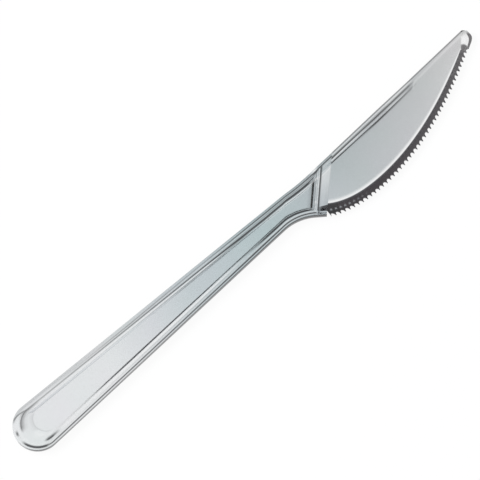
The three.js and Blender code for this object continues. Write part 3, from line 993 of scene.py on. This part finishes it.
def knife_mesh(name):
    mesh = bpy.data.meshes.new(name)
    work = bmesh.new()
    across = len(sheet) - 1
    along = len(sheet[0]) - 1
    tone = work.verts.layers.float.new("tone")
    band = work.verts.layers.float.new("band")
    under = work.verts.layers.float.new("under")
    bmesh.ops.create_grid(work, x_segments=across, y_segments=along, size=1)
    for vertex in work.verts:
        column = round((vertex.co.x + 1) / 2 * across)
        row = round((vertex.co.y + 1) / 2 * along)
        vertex[tone], vertex[band], vertex[under] = sheet[column][row][TONE:]
        vertex.co = sheet[column][row][:3]
    bmesh.ops.remove_doubles(work, verts=work.verts, dist=MERGE)
    bmesh.ops.translate(work, verts=work.verts, vec=(0, 0, -MIDDLE))
    upper_face = work.verts[:] + work.edges[:] + work.faces[:]
    bmesh.ops.mirror(work, geom=upper_face, axis="Z", merge_dist=MERGE)
    bmesh.ops.remove_doubles(work, verts=work.verts, dist=MERGE)
    bmesh.ops.dissolve_degenerate(work, edges=work.edges, dist=MERGE)
    for vertex in work.verts:
        if vertex.co.z < -MERGE:
            vertex[tone] = vertex[under]
    bmesh.ops.translate(work, verts=work.verts, vec=(0, 0, MIDDLE))
    bmesh.ops.scale(work, verts=work.verts, vec=(MM, MM, MM))
    bmesh.ops.recalc_face_normals(work, faces=work.faces)
    open_edges = [edge for edge in work.edges if len(edge.link_faces) != 2]
    for face in work.faces:
        face.smooth = True
    for edge in work.edges:
        edge.smooth = edge.calc_face_angle(0) < SHARP
    print("faces:", len(work.faces), "open edges:", len(open_edges))
    work.to_mesh(mesh)
    work.free()
    return mesh


# %% Placing it in the frame
# A hair smaller than the CAD part, so that rounding errors stay inside its box
INSIDE = 0.99999


def put_in_scene(name, data):
    made = bpy.data.objects.new(name, data)
    bpy.context.scene.collection.objects.link(made)
    return made


mesh = knife_mesh("clear_knife")
knife = put_in_scene("clear_knife", mesh)
low = Vector([min(vertex.co[axis] for vertex in mesh.vertices) for axis in range(3)])
high = Vector([max(vertex.co[axis] for vertex in mesh.vertices) for axis in range(3)])
print("model's sides in mm:", [round(side / MM, 3) for side in high - low])
mesh.transform(Matrix.Scale(INSIDE, 4))
shift = Vector((low_corner.x - low.x, high_corner.y - high.y, low_corner.z - low.z))
mesh.transform(Matrix.Translation(shift))
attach(knife, "root")
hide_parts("knife")


# %% [markdown]
# ## The plastic
# Crystal polystyrene is clear and hard, with a polished mould's gloss and a high refractive index of
# 1.59, which is why cheap clear cutlery glitters at every edge. A Principled BSDF with full transmission
# gives both. Its base colour multiplies the light that comes through. The body has a faint grey cast,
# with painted shade that deepens it along the knife, and the tones and the band on the mesh paint shade
# and glints into it at the creases.


# %% Colours and nodes
def to_linear(hex_colour):
    parts = [int(hex_colour[i : i + 2], 16) / 255 for i in (1, 3, 5)]
    return [c / 12.92 if c <= 0.04045 else ((c + 0.055) / 1.055) ** 2.4 for c in parts] + [1]


def add_node(tree, kind, inputs=None, **settings):
    """Inputs are values, sockets, or nodes whose first output is meant."""
    made = tree.nodes.new("ShaderNode" + kind)
    for name, value in settings.items():
        setattr(made, name, value)
    for socket, value in (inputs or {}).items():
        if isinstance(value, bpy.types.Node):
            value = value.outputs[0]
        if isinstance(value, bpy.types.NodeSocket):
            tree.links.new(value, made.inputs[socket])
        else:
            made.inputs[socket].default_value = value
    return made


def empty_tree(owner):
    owner.use_nodes = True
    owner.node_tree.nodes.clear()
    return owner.node_tree


# A Mix node of colours takes them at the first two of these sockets and gives the result at the last.
COLOUR_A = 6
COLOUR_B = 7
MIXED = 2
WHITE = to_linear("#ffffff")
print("white in linear light:", WHITE)

# %% The body's cast, with painted shade along the knife
# A new colour ramp already has a stop at each end, so the two ends come first here.
CAST_AND_PAINTED_SHADE = (
    (0.0, "#e8eaec"),
    (1.0, "#d0d0d0"),
    (0.2, "#e6e8ea"),
    (0.38, "#c6cfd3"),
    (0.53, "#b8c6ca"),
    (0.7, "#b4bbbe"),
    (0.87, "#c0c2c4"),
)
CLOUD_GREEN = to_linear("#f9fffb")
CLOUD_PINK = to_linear("#fffafd")
CLOUD_SIZE = 16.667


def cast_and_painted_shade(tree, on_knife, axes):
    """A faint grey cast with painted shade: palest at the butt, deeper to the blade, a little clearer at
    the tip.
    """
    along = add_node(
        tree,
        "MapRange",
        {"Value": axes.outputs["X"], "From Min": low_corner.x, "From Max": high_corner.x},
    )
    cast_and_shade = add_node(tree, "ValToRGB", {0: along})
    stops = cast_and_shade.color_ramp.elements
    for index, (spot, colour) in enumerate(CAST_AND_PAINTED_SHADE):
        stop = stops[index] if index < 2 else stops.new(spot)
        stop.position = spot
        stop.color = to_linear(colour)
    # Stress colours: uneven cooling leaves very faint pink and green clouds, about 17 mm across.
    clouds = add_node(tree, "TexNoise", {0: on_knife, "Scale": 1 / (CLOUD_SIZE * MM), "Detail": 1})
    tint = add_node(
        tree,
        "Mix",
        {0: clouds, COLOUR_A: CLOUD_GREEN, COLOUR_B: CLOUD_PINK},
        data_type="RGBA",
    )
    tinted = add_node(
        tree,
        "Mix",
        {0: 1.0, COLOUR_A: cast_and_shade, COLOUR_B: tint.outputs[MIXED]},
        data_type="RGBA",
        blend_type="MULTIPLY",
    )
    return tinted.outputs[MIXED]


print("stops of the cast along the knife:", len(CAST_AND_PAINTED_SHADE))

# %% Painted shade and glints of the creases and the band
PAINTED_CREASE_SHADE = to_linear("#08080a")
PAINTED_BAND_SHADE = to_linear("#2b2328")
CREASE_POWER = 2


def crease_shading(tree, clear):
    """Paints the band's shade onto the bevel, glints white, and the creases' shade almost black."""
    band = add_node(tree, "Attribute", attribute_name="band").outputs["Fac"]
    tone = add_node(tree, "Attribute", attribute_name="tone").outputs["Fac"]
    banded = add_node(tree, "Mix", {0: band, COLOUR_A: clear, COLOUR_B: PAINTED_BAND_SHADE}, data_type="RGBA")
    lowest = add_node(tree, "Math", {0: tone, 1: band}, operation="MINIMUM")
    glint = add_node(tree, "MapRange", {"Value": lowest, "From Max": -1})
    lit = add_node(
        tree,
        "Mix",
        {0: glint, COLOUR_A: banded.outputs[MIXED], COLOUR_B: WHITE},
        data_type="RGBA",
    )
    light = add_node(tree, "MapRange", {"Value": tone, "To Min": 1, "To Max": 0})
    kept = add_node(tree, "Math", {0: light, 1: CREASE_POWER}, operation="POWER")
    shaded = add_node(
        tree,
        "Mix",
        {0: kept, COLOUR_A: PAINTED_CREASE_SHADE, COLOUR_B: lit.outputs[MIXED]},
        data_type="RGBA",
    )
    return shaded.outputs[MIXED]


print("band in linear light:", [round(part, 3) for part in PAINTED_BAND_SHADE[:3]])

# %% Flow waves
WAVE_LENGTH = 8
WAVE_WIDTH = 2
WAVE_HEIGHT = 0.02


def flow_waves(tree, on_knife):
    """The melt froze in long faint waves along the knife. They let the gloss waver, as moulded plastic's
    does, without bending what is seen through it."""
    lengthwise = 1 / (WAVE_LENGTH * MM)
    crosswise = 1 / (WAVE_WIDTH * MM)
    stretched = add_node(tree, "Mapping", {0: on_knife, "Scale": (lengthwise, crosswise, crosswise)})
    waves = add_node(tree, "TexNoise", {0: stretched, "Scale": 1, "Detail": 2})
    return add_node(tree, "Bump", {"Height": waves, "Strength": 0.25, "Distance": WAVE_HEIGHT * MM})


print("flow waves in mm:", WAVE_LENGTH, "by", WAVE_WIDTH)

# %% Wear
SCUFF_SIZE = 0.625
POLISHED = 0.01
SCUFFED = 0.05
RUBBED = 0.03
RUBBED_FROM = 0.95


def worn_polish(tree, on_knife, axes):
    """Fine scuffs dull the polish in places, and most on the rims that the knife rests on."""
    scuffs = add_node(tree, "TexNoise", {0: on_knife, "Scale": 1 / (SCUFF_SIZE * MM), "Detail": 3})
    polish = add_node(
        tree,
        "MapRange",
        {"Value": scuffs, "From Min": 0.4, "From Max": 0.8, "To Min": POLISHED, "To Max": SCUFFED},
    )
    half = MIDDLE * MM
    offset = add_node(tree, "Math", {0: axes.outputs["Z"], 1: half}, operation="SUBTRACT")
    off_middle = add_node(tree, "Math", {0: offset}, operation="ABSOLUTE")
    rubbed = add_node(
        tree,
        "MapRange",
        {"Value": off_middle, "From Min": RUBBED_FROM * half, "From Max": half, "To Max": RUBBED},
    )
    return add_node(tree, "Math", {0: polish, 1: rubbed}, operation="ADD")


print("roughness from", POLISHED, "to", SCUFFED + RUBBED)


# %% Clear moulded polystyrene
def clear_polystyrene():
    material = bpy.data.materials.new("clear_moulded_polystyrene")
    tree = empty_tree(material)
    on_knife = add_node(tree, "TexCoord").outputs["Object"]
    axes = add_node(tree, "SeparateXYZ", {0: on_knife})
    plastic = add_node(
        tree,
        "BsdfPrincipled",
        {
            "Base Color": crease_shading(tree, cast_and_painted_shade(tree, on_knife, axes)),
            "Roughness": worn_polish(tree, on_knife, axes),
            "IOR": 1.59,
            "Transmission Weight": 1.0,
            "Normal": flow_waves(tree, on_knife),
        },
    )
    add_node(tree, "OutputMaterial", {"Surface": plastic})
    print("nodes in the plastic:", len(tree.nodes))
    return material


knife.data.materials.append(clear_polystyrene())

# %% [markdown]
# ## Floor
# The floor is white paper. What the camera sees of it is mostly its own white, so that the page stays
# white, and the rest is lit, so that the knife's soft shadow shows.

# %% White paper
PAPER = to_linear("#f3f3f3")
OWN_WHITE = 1.03
OWN_SHARE = 0.9
FLOOR_HALF = 8


def seen_in_plastic(tree, rays):
    """1 for what is mirrored in the plastic or seen through it."""
    both = {0: rays.outputs["Is Glossy Ray"], 1: rays.outputs["Is Transmission Ray"]}
    return add_node(tree, "Math", both, operation="MAXIMUM")


def floor_paper():
    material = bpy.data.materials.new("white_paper")
    tree = empty_tree(material)
    rays = add_node(tree, "LightPath")
    either = {0: rays.outputs["Is Camera Ray"], 1: seen_in_plastic(tree, rays)}
    seen = add_node(tree, "Math", either, operation="MAXIMUM")
    share = add_node(tree, "Math", {0: seen, 1: OWN_SHARE}, operation="MULTIPLY")
    paper = add_node(tree, "BsdfDiffuse", {"Color": PAPER})
    own = add_node(tree, "Emission", {"Color": WHITE, "Strength": OWN_WHITE})
    both = add_node(tree, "MixShader", {0: share, 1: paper, 2: own})
    add_node(tree, "OutputMaterial", {"Surface": both})
    return material


def floor_plane():
    mesh = bpy.data.meshes.new("floor")
    work = bmesh.new()
    bmesh.ops.create_grid(work, x_segments=1, y_segments=1, size=FLOOR_HALF)
    work.to_mesh(mesh)
    work.free()
    floor = put_in_scene("floor", mesh)
    mesh.materials.append(floor_paper())
    print("floor in metres:", list(floor.dimensions[:2]))


floor_plane()

# %% [markdown]
# ## Light
# One broad lamp from the left of the picture throws the soft shadow. The plastic neither mirrors it nor
# shows it through, because its shape would stand out on the clear faces. Instead the plastic sees an
# even, pale room, and the paper is lit by darker air, which keeps the shadow.

# %% Lamp
LAMP_AT = Vector((-0.7, 0.9, 1.0))
LAMP_LENGTH = 1.0
LAMP_WIDTH = 0.7
LAMP_POWER = 14
lamp = bpy.data.lights.new("overhead", "AREA")
lamp.shape = "RECTANGLE"
lamp.size = LAMP_LENGTH
lamp.size_y = LAMP_WIDTH
lamp.energy = LAMP_POWER
overhead = put_in_scene("overhead", lamp)
overhead.location = LAMP_AT
overhead.rotation_euler = (-LAMP_AT).to_track_quat("-Z", "Y").to_euler()
overhead.visible_glossy = False
overhead.visible_transmission = False
print("lamp's distance in metres:", round(LAMP_AT.length, 2))

# %% Room
AIR = (0.5, 0.5, 0.51, 1)
ROOM = (0.85, 0.86, 0.88, 1)
world = bpy.data.worlds.new("studio")
bpy.context.scene.world = world
world_tree = empty_tree(world)
world_rays = add_node(world_tree, "LightPath")
air = add_node(world_tree, "Background", {"Color": AIR})
room = add_node(world_tree, "Background", {"Color": ROOM})
page = add_node(world_tree, "Background", {"Color": WHITE})
inside = add_node(
    world_tree,
    "MixShader",
    {0: seen_in_plastic(world_tree, world_rays), 1: air, 2: room},
)
sky = add_node(world_tree, "MixShader", {0: world_rays.outputs["Is Camera Ray"], 1: inside, 2: page})
add_node(world_tree, "OutputWorld", {"Surface": sky})
print("air and room:", AIR[:3], ROOM[:3])

# %% [markdown]
# ## Camera
# The camera looks down steeply from far away with a long lens, so that the knife shows almost no
# perspective. It is turned so that the knife lies across the picture from corner to corner.

# %% Camera
AZIMUTH = -42.22
ELEVATION = 73
DISTANCE = 6.5
VIEW_WIDTH = 0.14676
TARGET = Vector((-0.00165, 0.0059, 0.0016))
camera_data = bpy.data.cameras.new("camera")
camera_data.lens = camera_data.sensor_width * DISTANCE / VIEW_WIDTH
camera = put_in_scene("camera", camera_data)
level = Vector((math.sin(math.radians(AZIMUTH)), -math.cos(math.radians(AZIMUTH)), 0))
back = level * math.cos(math.radians(ELEVATION)) + Vector((0, 0, math.sin(math.radians(ELEVATION))))
camera.location = TARGET + back * DISTANCE
camera.rotation_euler = (math.radians(90 - ELEVATION), 0, math.radians(AZIMUTH))
bpy.context.scene.camera = camera
bpy.context.scene.view_settings.view_transform = "Standard"
print("lens in mm:", round(camera_data.lens))
